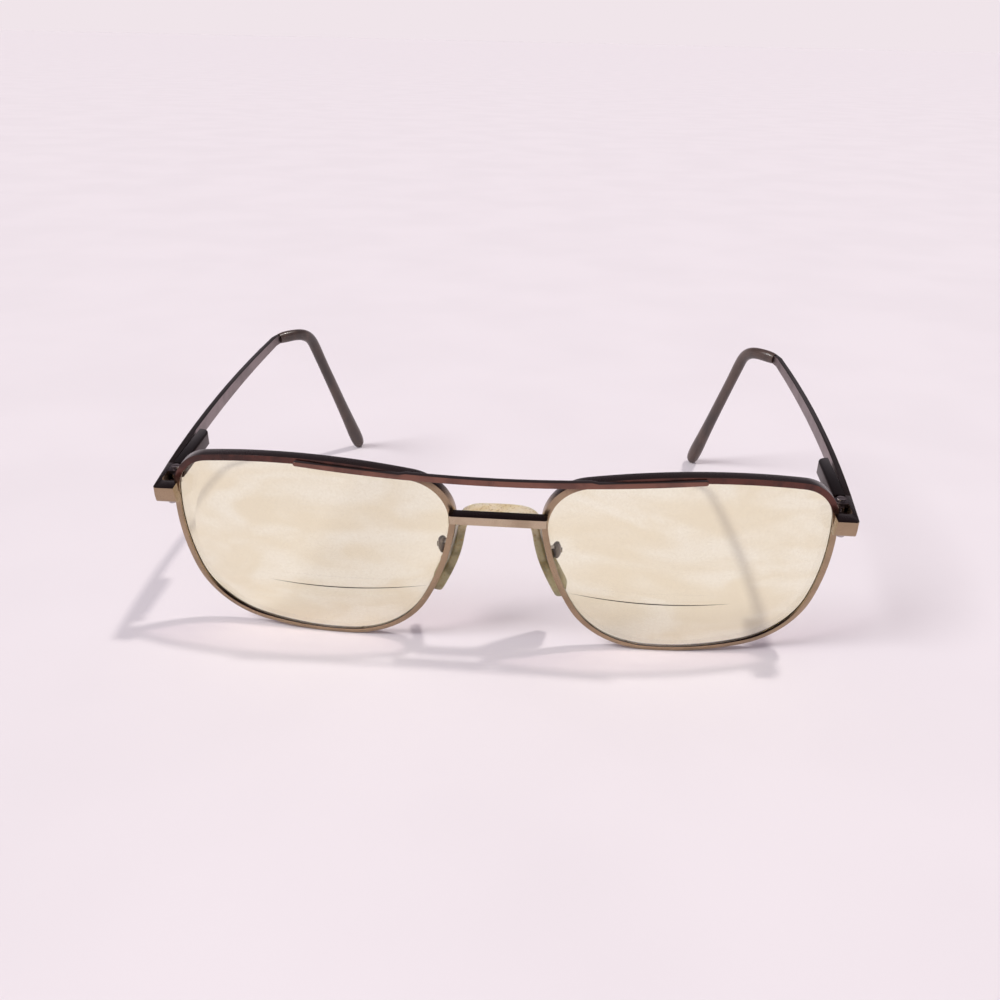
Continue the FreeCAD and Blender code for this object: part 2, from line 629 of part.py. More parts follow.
# Where the strip's sections are, as shares of its length
STRIP_SHARES = [0, 0.08, 0.16, 0.25, 0.35, 0.45, 0.55, 0.65, 0.75, 0.85, 0.92, 0.97, 1]
NARROWS_FROM = 0.25                          # the share after which the strip narrows


def make_temple():
    """A flat strip, thinned before the tip, with a core wire that runs on inside the tip."""
    half = size("stripThick") / 2
    top = size("stripNeck") / 2
    length = size("stripLength")
    first = size("shoulder") + size("shoulderGap")
    stations = []
    for share in STRIP_SHARES:
        narrowing = max(share - NARROWS_FROM, 0) / (1 - NARROWS_FROM)
        tall = size("stripTall") - (size("stripTall") - size("stripNeck")) * narrowing ** 2
        stations.append((first + (length - first) * share, tall))
    sections = []
    for index, (distance, tall) in enumerate(stations):
        corners = [Vector(half, top, 0), Vector(-half, top, 0), Vector(-half, top - tall, 0),
                   Vector(half, top - tall, 0)]
        sections.append(closed_sketch("strip_section_%d" % index, section_placement(distance), corners))
    strip = loft("temple_strip", sections, True)
    core = make_core("temple_core", "Sizes.coreRadius")
    return fuse("temple_right", strip, core)


# How wide the tip is at each share of its length, as a factor of its usual width
TIP_SWELL = [(0, 0.85), (0.02, 0.97), (0.08, 1.0), (0.14, 1.0), (0.2, 1.0), (0.26, 1.0), (0.33, 0.98),
             (0.5, 1.0), (0.7, 1.08), (0.86, 1.25), (0.95, 1.25), (0.985, 1.0), (1.0, 0.5)]


def make_tip():
    """A plastic tip, round where it starts and a flat paddle with a rounded end."""
    start = size("stripLength") + size("coreGap")
    reach = size("tipStraight") + size("tipRadius") * math.radians(size("tipTurn")) + size("tipTail")
    rings = []
    for index, (share, factor) in enumerate(TIP_SWELL):
        rings.append(oval("tip_ring_%d" % index, "tipWide", "tipHigh", factor, start + share * reach))
    bore = make_core("tip_bore", "Sizes.coreRadius + Sizes.coreGap")
    return cut("temple_tip_right", loft("tip_solid", rings), bore)


# ---------------------------------------------------------------- strap nose pad
def pad_profile(name, placement, right):
    """One face of the strap pad: an arch with two legs, drawn from its right half."""
    def at(point, sign=1):
        return Vector(sign * point[0], point[1], 0)
    inner_top, inner_mid, inner_low, tip_mid, outer_low, outer_mid, outer_top, shoulder, crest = right
    crown = Vector(0, size("padTop"), 0)
    vault = Vector(0, size("padTop") - size("padWall"), 0)
    steps = [(at(shoulder), at(outer_top)), (at(outer_mid), at(outer_low)), (at(tip_mid), at(inner_low)),
             (at(inner_mid), at(inner_top)), (vault, at(inner_top, -1)),
             (at(inner_mid, -1), at(inner_low, -1)), (at(tip_mid, -1), at(outer_low, -1)),
             (at(outer_mid, -1), at(outer_top, -1)), (at(shoulder, -1), at(crest, -1)),
             (crown, at(crest))]
    return closed_sketch(name, placement, steps)


def make_saddle_pad():
    low = size("padBottom")
    wall = size("padWall")
    # points of the right half: inside of the leg downwards, its foot, its outside upwards
    front = [(5.6, 5.4), (8.1, -3.9), (11.2, low + 1.8), (12.5, low + 1.3), (13.2, low + 2.6),
             (9.0 + wall, -3.4), (6.5 + wall, 6.3), (5.6 + wall, 9.1), (5.0, size("padTop") - 0.1)]
    back = [(6.3, 5.0), (10.4, -3.9), (13.3, low - 0.6), (14.5, low - 1.0), (15.2, low + 0.6),
            (11.3 + wall, -3.0), (7.6 + wall, 6.0), (6.1 + wall, 8.9), (5.0, size("padTop") - 0.1)]
    drop = size("padTop") - low
    splay = math.degrees(math.atan((size("padDepthLow") - size("padDepthTop")) / drop))
    front_place = FRONT.multiply(Placement(Vector(0, size("padFront"), 0), UPRIGHT))
    top_back = size("padFront") + size("padDepthTop") + size("padTop") * math.tan(math.radians(splay))
    back_place = FRONT.multiply(Placement(Vector(0, top_back, 0),
                                          Rotation(Vector(1, 0, 0), 90 + splay)))
    return loft("saddle_pad", [pad_profile("pad_front", front_place, front),
                               pad_profile("pad_back", back_place, back)], True)


def bar_between(name, radius, start, end):
    """A round bar between two points of the front's frame."""
    bar = add("Part::Cylinder", name, Radius=radius)
    bar.Height = (end - start).Length
    bar.Placement = FRONT.multiply(Placement(start, Rotation(Vector(0, 0, 1), end - start)))
    return bar


PAD_ARM_ROOT = Vector(9.95, 3.45, 3.0)       # on the back of the rim's nasal side
PAD_ARM_ELBOW = Vector(10.8, 5.3, 1.9)
PAD_SEAT = Vector(11.7, 6.7, 0.2)             # the middle of the box beside the pad's leg


def make_pad_mounts(rim, pad):
    """A small arm from the rim to a box on the pad's leg, and the box's cross screw."""
    knee = add("Part::Sphere", "pad_arm_elbow", Radius="Sizes.armRadius")
    knee.Placement = FRONT.multiply(Placement(PAD_ARM_ELBOW, Rotation()))
    case = doc.addObject("Part::Ellipsoid", "pad_box_blank")
    bind(case, Radius1="0.8 * Sizes.boxLength", Radius2="Sizes.boxRadius", Radius3="1.4 * Sizes.boxRadius")
    case.Placement = FRONT.multiply(Placement(PAD_SEAT, Rotation(Vector(1, 0, 0), 8)))
    root = bar_between("pad_arm_root", "Sizes.armRadius", PAD_ARM_ROOT, PAD_ARM_ELBOW)
    end = bar_between("pad_arm_end", "Sizes.armRadius", PAD_ARM_ELBOW, PAD_SEAT)
    arm = cut("pad_arm_drilled", fuse("pad_arm_plain", root, knee, end), case)
    arm = cut("pad_arm_right", cut("pad_arm_soldered", arm, rim), pad)
    screw_end = PAD_SEAT + Vector(size("boxRadius") + size("padScrewProud"), 0, 0)
    bar = bar_between("pad_screw_bar", "Sizes.lockScrew", PAD_SEAT, screw_end)
    return [arm, cut("pad_box_right", case, pad), cut("pad_screw_right", bar, case)]


# ---------------------------------------------------------------- the whole object
rim_right = make_rim()
end_blank = make_end_piece()
end_blank.Label = "end_piece_blank"
end_right = cut("end_piece_soldered", end_blank, rim_right)
pad = make_saddle_pad()
right_parts = {"rim": rim_right, "lens": make_lens(), "end_piece": end_right}
for word, block in zip(("upper", "lower"), make_closing_blocks()):
    right_parts["closing_block_" + word] = cut("closing_%s_seated" % word, block, end_right)
right_parts["rim_lock_screw"] = make_lock_screw()
right_parts["hinge_front"] = make_knuckles(end_right)
right_parts["hinge_screw"] = make_hinge_screw()
right_parts["hinge_slider"] = make_slider()
right_parts["spring_housing"] = make_housing()
right_parts["flex_spring"] = make_spring()
right_parts["temple"] = make_temple()
right_parts["temple_tip"] = make_tip()
for word, piece in zip(("pad_arm", "pad_box", "pad_screw"), make_pad_mounts(rim_right, pad)):
    right_parts[word] = piece
finished = {"bridge": cut("bridge_soldered", make_bridge(), rim_right), "saddle_pad": pad,
            "brow_bar": make_brow_bar()}
for word, piece in right_parts.items():
    finished[word + "_right"] = piece
    finished[word + "_left"] = mirror(word + "_left", piece)
finished["bridge"] = cut("bridge_fitted", finished["bridge"], finished["rim_left"])
doc.recompute()

for item in doc.Objects:
    if {"Invalid", "Error"} & set(item.State):
        raise RuntimeError("%s failed: %s" % (item.Name, item.State))
os.makedirs("parts", exist_ok=True)
for name, item in finished.items():
    if item.Shape.isNull() or not item.Shape.isValid() or not item.Shape.Solids:
        raise RuntimeError("%s has no valid solid" % name)
    for other in doc.Objects:
        if other.Label == name and other is not item:
            other.Label = name + "_before_fitting"
    item.Label = name
    item.Shape.exportStep("parts/%s.step" % name)
    print("%-28s %9.2f mm3  %d solid(s)" % (name, item.Shape.Volume, len(item.Shape.Solids)))
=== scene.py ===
# %% [markdown]
# # A pair of metal eyeglasses, finished in Blender
# The maker's solids arrive already at their true size and place, each riding on the body
# it turns with.  This lesson gives them their edges, their plating, enamel, glass and
# silicone, and then lights them on a pale table.  Lengths are in metres throughout.

# %% load the solids
import bpy
import json
import math
from mathutils import Matrix, Vector

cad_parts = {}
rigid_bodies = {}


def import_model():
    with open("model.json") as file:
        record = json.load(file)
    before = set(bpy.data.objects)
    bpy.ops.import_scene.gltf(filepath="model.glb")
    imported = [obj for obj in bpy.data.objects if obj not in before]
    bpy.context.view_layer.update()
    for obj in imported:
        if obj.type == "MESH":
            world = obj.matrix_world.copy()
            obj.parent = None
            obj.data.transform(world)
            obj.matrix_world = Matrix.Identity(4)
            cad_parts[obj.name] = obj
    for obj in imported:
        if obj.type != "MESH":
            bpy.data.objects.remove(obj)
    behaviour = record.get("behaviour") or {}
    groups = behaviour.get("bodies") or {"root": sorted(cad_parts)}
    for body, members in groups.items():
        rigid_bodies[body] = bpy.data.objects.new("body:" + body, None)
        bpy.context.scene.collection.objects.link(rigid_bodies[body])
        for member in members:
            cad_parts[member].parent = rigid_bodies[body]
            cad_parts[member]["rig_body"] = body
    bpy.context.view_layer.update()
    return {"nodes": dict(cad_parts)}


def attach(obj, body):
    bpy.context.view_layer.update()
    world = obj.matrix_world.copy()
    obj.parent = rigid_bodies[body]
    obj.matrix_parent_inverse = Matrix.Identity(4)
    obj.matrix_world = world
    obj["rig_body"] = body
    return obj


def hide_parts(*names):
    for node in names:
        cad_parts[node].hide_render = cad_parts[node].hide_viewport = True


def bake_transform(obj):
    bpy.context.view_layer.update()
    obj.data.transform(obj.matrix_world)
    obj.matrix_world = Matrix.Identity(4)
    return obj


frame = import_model()
nodes = frame["nodes"]
MM = 0.001

# %% [markdown]
# ## The camera
# The glasses lie open on a table and are seen from in front, a little above and slightly
# to the right.  A camera is placed by its eye point and by where it looks: turned a few
# degrees to the left, tipped down, and rolled by about one degree, as hands do.

# %% camera
eye_point = Vector((0.0114436, -0.2268562, 0.1155332))
turn, tip_down, roll = -0.06478, 0.433797, 0.0226425
forward = Vector((math.sin(turn) * math.cos(tip_down), math.cos(turn) * math.cos(tip_down),
                  -math.sin(tip_down)))
level = Vector((math.cos(turn), -math.sin(turn), 0))
upward = level.cross(forward)
right = level * math.cos(roll) + upward * math.sin(roll)
above = upward * math.cos(roll) - level * math.sin(roll)
camera = bpy.data.objects.new("camera", bpy.data.cameras.new("camera"))
bpy.context.scene.collection.objects.link(camera)
camera.data.sensor_width = 36
camera.data.lens = 36
camera.data.clip_start = 0.01
camera.matrix_world = Matrix(((right.x, above.x, -forward.x, eye_point.x),
                              (right.y, above.y, -forward.y, eye_point.y),
                              (right.z, above.z, -forward.z, eye_point.z), (0, 0, 0, 1)))
bpy.context.scene.camera = camera
print("camera at", [round(v, 4) for v in eye_point])

# %% [markdown]
# ## Table and light
# The table is one wide plane.  Polished metal shows whatever is around it, so the
# surroundings are planned like a studio: pale down at the table's level, which the front
# faces mirror, and darker overhead, which makes the tops nearly black.  The strongest lamp
# is a soft one from the front left, a very broad one from the front fills in, and a small
# crisp one from the right draws the temples' shadows that show through the lenses.

# %% table, lamps and surroundings
def shade(red, green, blue):
    """A colour in everyday 0-255 numbers, as the linear numbers that shaders want."""
    return tuple(((c / 255 + 0.055) / 1.055) ** 2.4 for c in (red, green, blue)) + (1,)


def deselect():
    bpy.ops.object.select_all(action="DESELECT")


def distant_lamp(name, from_where, softness, strength, tint=(1.0, 1.0, 1.0)):
    data = bpy.data.lights.new(name, "SUN")
    data.angle = math.radians(softness)
    data.energy = strength
    data.color = tint
    item = bpy.data.objects.new(name, data)
    bpy.context.scene.collection.objects.link(item)
    item.rotation_euler = Vector(from_where).to_track_quat("Z", "Y").to_euler()
    return item


deselect()
bpy.ops.mesh.primitive_plane_add(size=60, location=(0, 0, -0.00002))
table = bpy.context.object
table.name = "table"
distant_lamp("soft_left", (-0.85, -0.55, 1.0), 22, 1.9)
distant_lamp("front_fill", (0.1, -0.9, 1.3), 70, 0.25)
distant_lamp("crisp_right", (0.35, 0.08, 1.0), 4, 1.15, (1.0, 0.95, 0.9))
world = bpy.data.worlds.new("surroundings")
bpy.context.scene.world = world
world.use_nodes = True
sky = world.node_tree
direction = sky.nodes.new("ShaderNodeTexCoord")
parts = sky.nodes.new("ShaderNodeSeparateXYZ")
rise = sky.nodes.new("ShaderNodeMapRange")
rise.interpolation_type = "SMOOTHSTEP"
rise.inputs["From Min"].default_value = 0.08
rise.inputs["From Max"].default_value = 0.5
blend = sky.nodes.new("ShaderNodeMix")
blend.data_type = "RGBA"
blend.inputs[6].default_value = shade(240, 229, 234)
blend.inputs[7].default_value = shade(150, 140, 150)
sky.links.new(direction.outputs["Generated"], parts.inputs["Vector"])
sky.links.new(parts.outputs["Z"], rise.inputs["Value"])
sky.links.new(rise.outputs["Result"], blend.inputs["Factor"])
sky.links.new(blend.outputs[2], sky.nodes["Background"].inputs["Color"])
sky.nodes["Background"].inputs["Strength"].default_value = 1.0
bpy.context.scene.view_settings.view_transform = "Standard"
print("table and", len(bpy.data.lights), "lamps")

# %% [markdown]
# ## Shader helpers
# A material is a small network.  Two short helpers add a node with its values and join it
# to the ones before it, so each finish below reads as a recipe.

# %% helpers for materials
def feed(tree, source, target):
    """Joins an output to an input, or sets the input if the source is a plain value."""
    if isinstance(source, bpy.types.NodeSocket):
        tree.links.new(source, target)
    else:
        target.default_value = source


def mix(tree, factor, first, second):
    item = tree.nodes.new("ShaderNodeMix")
    item.data_type = "RGBA"
    feed(tree, factor, item.inputs["Factor"])
    feed(tree, first, item.inputs[6])
    feed(tree, second, item.inputs[7])
    return item.outputs[2]


def sums(tree, operation, first, second=0.0):
    item = tree.nodes.new("ShaderNodeMath")
    item.operation = operation
    feed(tree, first, item.inputs[0])
    feed(tree, second, item.inputs[1])
    return item.outputs[0]


def components(tree, kind):
    """The X, Y and Z outputs of the object's own coordinates or of its surface direction."""
    source = tree.nodes.new("ShaderNodeTexCoord")
    split = tree.nodes.new("ShaderNodeSeparateXYZ")
    tree.links.new(source.outputs[kind], split.inputs["Vector"])
    return split.outputs


def fade(tree, value, low, high, start=0.0, end=1.0):
    """Turns a value between low and high smoothly into one between start and end."""
    item = tree.nodes.new("ShaderNodeMapRange")
    item.interpolation_type = "SMOOTHSTEP"
    for name, number in (("Value", value), ("From Min", low), ("From Max", high),
                         ("To Min", start), ("To Max", end)):
        feed(tree, number, item.inputs[name])
    return item.outputs["Result"]


def new_group(name, numbers, outputs):
    group = bpy.data.node_groups.new(name, "ShaderNodeTree")
    for label, value in numbers.items():
        socket = group.interface.new_socket(label, in_out="INPUT", socket_type="NodeSocketFloat")
        socket.default_value = value
    for label in outputs:
        group.interface.new_socket(label, in_out="OUTPUT", socket_type="NodeSocketFloat")
    return group, group.nodes.new("NodeGroupInput"), group.nodes.new("NodeGroupOutput")


def use(tree, group, **values):
    item = tree.nodes.new("ShaderNodeGroup")
    item.node_tree = group
    for key, value in values.items():
        feed(tree, value, item.inputs[key])
    return item.outputs


def noise(tree, size_mm, detail=3.0, stretch=(1, 1, 1)):
    """A noise whose lumps are about the given size, read from the object's own coordinates."""
    place = tree.nodes.new("ShaderNodeTexCoord")
    mapping = tree.nodes.new("ShaderNodeMapping")
    mapping.inputs["Scale"].default_value = [s / (size_mm * MM) for s in stretch]
    texture = tree.nodes.new("ShaderNodeTexNoise")
    texture.inputs["Scale"].default_value = 1.0
    texture.inputs["Detail"].default_value = detail
    tree.links.new(place.outputs["Object"], mapping.inputs["Vector"])
    tree.links.new(mapping.outputs["Vector"], texture.inputs["Vector"])
    return texture.outputs["Fac"]


def material(name, roughness, metallic=0.0, coat=0.0):
    item = bpy.data.materials.new(name)
    item.use_nodes = True
    shader = item.node_tree.nodes["Principled BSDF"]
    shader.inputs["Roughness"].default_value = roughness
    shader.inputs["Metallic"].default_value = metallic
    shader.inputs["Coat Weight"].default_value = coat
    return item, item.node_tree, shader


def bump(tree, shader, height, strength, depth_mm):
    item = tree.nodes.new("ShaderNodeBump")
    item.inputs["Strength"].default_value = strength
    item.inputs["Distance"].default_value = depth_mm * MM
    tree.links.new(height, item.inputs["Height"])
    tree.links.new(item.outputs["Normal"], shader.inputs["Normal"])

# %% [markdown]
# ## Effects that several finishes share
# Plated wire is polished with a satin grain, it is dulled in patches by years of
# handling, and its upward faces are painted dark: a dark lacquer together with painted
# shade for the dark reflection from overhead.  Each of these is one node group, so
# that every metal can use it with its own numbers.

# %% satin grain
grain_group, grain_in, grain_out = new_group("satin grain", {"Roughness": 0.3, "Spread": 0.1},
                                             ["Roughness", "Height"])
fine = noise(grain_group, 0.12, 2.0)
broad = noise(grain_group, 3.0, 4.0)
both = sums(grain_group, "MULTIPLY", sums(grain_group, "ADD", fine, broad), 0.5)
swing = sums(grain_group, "MULTIPLY", sums(grain_group, "SUBTRACT", both, 0.5), grain_in.outputs["Spread"])
feed(grain_group, sums(grain_group, "ADD", grain_in.outputs["Roughness"], swing),
     grain_out.inputs["Roughness"])
feed(grain_group, fine, grain_out.inputs["Height"])

# %% handling patches
handling_group, handling_in, handling_out = new_group("handling patches", {"Amount": 0.5}, ["Mask"])
patch = fade(handling_group, noise(handling_group, 5.0, 6.0), 0.42, 0.68)
feed(handling_group, sums(handling_group, "MULTIPLY", patch, handling_in.outputs["Amount"]),
     handling_out.inputs["Mask"])

# %% lacquer and painted shade on upward faces
# upward faces are painted dark: lacquer together with painted shade for the dark reflection from overhead
lacquer_and_shade_group, lacquer_and_shade_in, lacquer_and_shade_out = new_group("upward lacquer", {"Start": 0.3, "Full": 0.7}, ["Mask"])
upward_part = components(lacquer_and_shade_group, "Normal")["Z"]
feed(lacquer_and_shade_group, fade(lacquer_and_shade_group, upward_part, lacquer_and_shade_in.outputs["Start"],
                         lacquer_and_shade_in.outputs["Full"]), lacquer_and_shade_out.inputs["Mask"])
print("shared effects:", [g.name for g in bpy.data.node_groups])

# %% [markdown]
# ## Champagne plate
# The bridge has a pale champagne plating with a soft shine; the end-pieces and rims use a
# darker copy of the same plating, painted shade, and all have their tops painted near-black
# brown, a lacquer together with painted shade for the dark reflection from overhead.

# %% champagne plate
CHAMPAGNE = shade(188, 170, 146)
# the same plate made darker: painted shade for the rims and end-pieces
CHAMPAGNE_IN_SHADE = shade(164, 142, 117)
WORN = shade(140, 120, 97)
LACQUER_AND_SHADE = shade(44, 32, 30)


def plate(name, pale, worn, dark, roughness, lacquer_and_shade_start, lacquer_and_shade_full):
    item, tree, shader = material(name, roughness, 1.0)
    grain = use(tree, grain_group, Roughness=roughness, Spread=0.16)
    patches = use(tree, handling_group, Amount=0.45)
    # the tops get the dark colour: lacquer together with painted shade for the dark reflection from
    # overhead
    lacquer_and_shade = use(tree, lacquer_and_shade_group, Start=lacquer_and_shade_start, Full=lacquer_and_shade_full)
    colour = mix(tree, patches["Mask"], pale, worn)
    feed(tree, mix(tree, lacquer_and_shade["Mask"], colour, dark), shader.inputs["Base Color"])
    feed(tree, grain["Roughness"], shader.inputs["Roughness"])
    bump(tree, shader, grain["Height"], 0.12, 0.02)
    return item


champagne = plate("champagne plate", CHAMPAGNE_IN_SHADE, WORN, LACQUER_AND_SHADE, 0.28, 0.35, 0.75)
bridge_plate = plate("bridge plate", CHAMPAGNE, WORN, LACQUER_AND_SHADE, 0.26, 0.12, 0.45)
print("made", champagne.name, "and", bridge_plate.name)

# %% [markdown]
# ## Two-tone rims
# The rims are bronze plate below, and their upper fronts have reddish-brown enamel that
# fades out down the outer side.  The fade follows the height on the rim, a little lower
# at the outer side than by the nose, so it is worked out from the object's coordinates.

# %% rim finish
ENAMEL = shade(92, 54, 46)
ENAMEL_DEEP = shade(58, 38, 35)
ENAMEL_EDGE = (0.0388, 0.0425)       # heights between which the enamel fades in
ENAMEL_RAGGED = 0.0012               # how far its edge wanders
ENAMEL_DROP = 0.096                  # how much lower it comes for each metre to the side
rim_finish, tree, shader = material("rim enamel and plate", 0.28, 1.0)
spot = components(tree, "Object")
sideways = sums(tree, "MULTIPLY", sums(tree, "ABSOLUTE", spot["X"]), ENAMEL_DROP)
height = sums(tree, "ADD", spot["Z"], sideways)
ragged = sums(tree, "MULTIPLY", noise(tree, 2.5, 4.0), ENAMEL_RAGGED)
enamelled = fade(tree, sums(tree, "ADD", height, ragged), *ENAMEL_EDGE)
patches = use(tree, handling_group, Amount=0.45)
lacquer_and_shade = use(tree, lacquer_and_shade_group, Start=0.3, Full=0.7)
grain = use(tree, grain_group, Roughness=0.28, Spread=0.16)
plain = mix(tree, patches["Mask"], CHAMPAGNE_IN_SHADE, WORN)
enamel_colour = mix(tree, use(tree, handling_group, Amount=1.0)["Mask"], ENAMEL, ENAMEL_DEEP)
two_tone = mix(tree, enamelled, plain, enamel_colour)
# the top faces are painted near-black: lacquer together with painted shade for the dark reflection from
# overhead
feed(tree, mix(tree, lacquer_and_shade["Mask"], two_tone, LACQUER_AND_SHADE), shader.inputs["Base Color"])
feed(tree, fade(tree, enamelled, 0.0, 1.0, 1.0, 0.8), shader.inputs["Metallic"])
feed(tree, grain["Roughness"], shader.inputs["Roughness"])
feed(tree, sums(tree, "MULTIPLY", enamelled, 0.2), shader.inputs["Coat Weight"])
bump(tree, shader, grain["Height"], 0.12, 0.02)

# %% [markdown]
# ## Brow bar enamel
# The bar is enamelled all over in the same reddish brown, with gloss from a clear coat; its
# top is painted near-black, a lacquer together with painted shade for the dark reflection
# from overhead.

# %% brow bar enamel
bar_enamel, tree, shader = material("brow bar enamel", 0.3, 0.7, 0.4)
lacquer_and_shade = use(tree, lacquer_and_shade_group, Start=0.35, Full=0.75)
patches = use(tree, handling_group, Amount=0.8)
colour = mix(tree, patches["Mask"], shade(120, 78, 64), shade(88, 56, 47))
feed(tree, mix(tree, lacquer_and_shade["Mask"], colour, LACQUER_AND_SHADE), shader.inputs["Base Color"])
grain = use(tree, grain_group, Roughness=0.3, Spread=0.2)
feed(tree, grain["Roughness"], shader.inputs["Roughness"])
bump(tree, shader, grain["Height"], 0.06, 0.02)

# %% [markdown]
# ## Temple, housing, screw and tip finishes
# The temples are a duller mauve grey inside; outside and on top they are painted nearly
# black, a dark finish together with painted shade for the dark reflection of the
# surroundings.  The spring housings are dark all over.  Screws are bright steel with a
# little dirt, the closing blocks, knuckles and pad boxes are a darker steel, and the tips are
# dark brown plastic with a soft gloss and faint marbling.

# %% temple plate
temple_plate, tree, shader = material("temple plate", 0.34, 1.0)
# the outward side and the top are painted nearly black: a dark finish together with painted shade
which_side = sums(tree, "SIGN", components(tree, "Object")["X"])
outward = sums(tree, "MULTIPLY", components(tree, "Normal")["X"], which_side)
outside = fade(tree, outward, 0.1, 0.6)
lacquer_and_shade = use(tree, lacquer_and_shade_group, Start=0.25, Full=0.7)
dark = sums(tree, "MAXIMUM", outside, lacquer_and_shade["Mask"])
patches = use(tree, handling_group, Amount=0.6)
inner = mix(tree, patches["Mask"], shade(138, 124, 124), shade(104, 92, 92))
feed(tree, mix(tree, dark, inner, shade(46, 36, 34)), shader.inputs["Base Color"])
grain = use(tree, grain_group, Roughness=0.36, Spread=0.2)
feed(tree, grain["Roughness"], shader.inputs["Roughness"])
bump(tree, shader, grain["Height"], 0.15, 0.02)

# %% housing plate and screws
housing_plate = plate("housing plate", shade(62, 50, 48), shade(44, 36, 34), shade(36, 29, 28),
                      0.32, 0.3, 0.8)
screw_steel = plate("screw steel", shade(178, 172, 172), shade(120, 110, 108), shade(140, 132, 130),
                    0.22, 0.6, 1.0)

box_steel = plate("box steel", shade(116, 106, 108), shade(78, 70, 72), shade(70, 62, 64),
                  0.3, 0.5, 1.0)

# %% tip plastic
tip_plastic, tree, shader = material("tip plastic", 0.3, 0.0, 0.35)
marble = fade(tree, noise(tree, 4.0, 5.0, (1, 1, 0.4)), 0.35, 0.7)
feed(tree, mix(tree, marble, shade(74, 56, 48), shade(50, 38, 33)), shader.inputs["Base Color"])
grain = use(tree, grain_group, Roughness=0.32, Spread=0.25)
feed(tree, grain["Roughness"], shader.inputs["Roughness"])
bump(tree, shader, grain["Height"], 0.1, 0.02)
print("metal and plastic finishes ready")

# %% [markdown]
# ## Lens glass
# The lenses are clear with a warm tint.  Light that only passes through on its way to the
# table is let straight through, because real lenses throw a faint shadow, not a black
# one.  Wavy bands of deeper tint are painted light and shade, the caustic ripples of the
# table seen through the glass, and fine specks stand for the weave of a cloth seen through
# it.  The narrow upward ledge of the reading segment is painted dark, a painted shadow line.

# %% lens glass
CAUSTIC_RIPPLES_PER_METRE = (55, 20, 150)
glass, tree, shader = material("lens glass", 0.0)
shader.inputs["Transmission Weight"].default_value = 1.0
shader.inputs["IOR"].default_value = 1.5
place = tree.nodes.new("ShaderNodeTexCoord")
mapping = tree.nodes.new("ShaderNodeMapping")
mapping.inputs["Scale"].default_value = CAUSTIC_RIPPLES_PER_METRE
caustic_waves = tree.nodes.new("ShaderNodeTexNoise")
caustic_waves.inputs["Scale"].default_value = 1.0
caustic_waves.inputs["Detail"].default_value = 3.0
caustic_waves.inputs["Distortion"].default_value = 0.9
tree.links.new(place.outputs["Object"], mapping.inputs["Vector"])
tree.links.new(mapping.outputs["Vector"], caustic_waves.inputs["Vector"])
# painted light and shade: wavy caustic ripples seen through the glass
caustic_bands = fade(tree, caustic_waves.outputs["Fac"], 0.35, 0.65)
# fine specks stand for a cloth's weave seen through the glass
weave_speckle = fade(tree, noise(tree, 0.5, 2.0), 0.3, 0.7)
caustic_tint = mix(tree, caustic_bands, (0.93, 0.88, 0.65, 1), (1.0, 1.0, 0.82, 1))
caustics_and_weave = mix(tree, sums(tree, "MULTIPLY", weave_speckle, 0.4), caustic_tint, (0.86, 0.81, 0.60, 1))
# the upward ledge is painted dark: a painted shadow line
ledge_shade = use(tree, lacquer_and_shade_group, Start=0.5, Full=0.8)["Mask"]
feed(tree, mix(tree, ledge_shade, caustics_and_weave, (0.03, 0.02, 0.01, 1)), shader.inputs["Base Color"])
rays = tree.nodes.new("ShaderNodeLightPath")
clear = tree.nodes.new("ShaderNodeBsdfTransparent")
clear.inputs["Color"].default_value = (0.74, 0.69, 0.71, 1)
chosen = tree.nodes.new("ShaderNodeMixShader")
output = tree.nodes["Material Output"]
tree.links.new(rays.outputs["Is Shadow Ray"], chosen.inputs["Fac"])
tree.links.new(shader.outputs["BSDF"], chosen.inputs[1])
tree.links.new(clear.outputs["BSDF"], chosen.inputs[2])
tree.links.new(chosen.outputs["Shader"], output.inputs["Surface"])
print("made", glass.name)

# %% [markdown]
# ## Silicone
# The strap pad is silicone that has yellowed.  It lets light in and scatters it, so it
# has some transmission and some scattering below the surface.  The hump over the nose is
# cream with golden flecks, and the legs are a darker cloudy olive: their yellowing together
# with painted shade for the dark surroundings seen through them.

# %% silicone
silicone, tree, shader = material("aged silicone", 0.32)
clouds = fade(tree, noise(tree, 3.0, 5.0), 0.35, 0.65)
flecks = fade(tree, noise(tree, 0.45, 3.0), 0.52, 0.72)
HUMP_HEIGHTS = (0.0255, 0.0305)      # the legs' colour below, the hump's colour above
# below these heights the legs are painted darker olive: yellowing together with painted shade for what is
# seen through them
hump = fade(tree, components(tree, "Object")["Z"], *HUMP_HEIGHTS)
aged_and_shaded = mix(tree, clouds, shade(186, 178, 136), shade(122, 112, 72))
cream = mix(tree, hump, aged_and_shaded, mix(tree, clouds, shade(250, 240, 214), shade(236, 220, 178)))
feed(tree, mix(tree, sums(tree, "MULTIPLY", flecks, 0.7), cream, shade(166, 128, 60)),
     shader.inputs["Base Color"])
shader.inputs["Transmission Weight"].default_value = 0.45
shader.inputs["Subsurface Weight"].default_value = 0.35
shader.inputs["Subsurface Radius"].default_value = (0.002, 0.0016, 0.0008)
shader.inputs["Subsurface Scale"].default_value = 1.0
shader.inputs["IOR"].default_value = 1.41
bump(tree, shader, flecks, 0.25, 0.08)

# %% table finish
table_finish, tree, shader = material("table", 0.7)
feed(tree, mix(tree, fade(tree, noise(tree, 60.0, 2.0), 0.3, 0.7), shade(227, 221, 225),
               shade(224, 218, 222)), shader.inputs["Base Color"])
table.data.materials.append(table_finish)

# %% [markdown]
# ## Softening the metal pieces
# A maker breaks every sharp edge.  Each metal solid is copied, its loose triangles are
# merged and flat areas are tidied into whole faces, and a small bevel rounds the edges.
# The rounded copy stands in for the solid and rides where the solid rode.

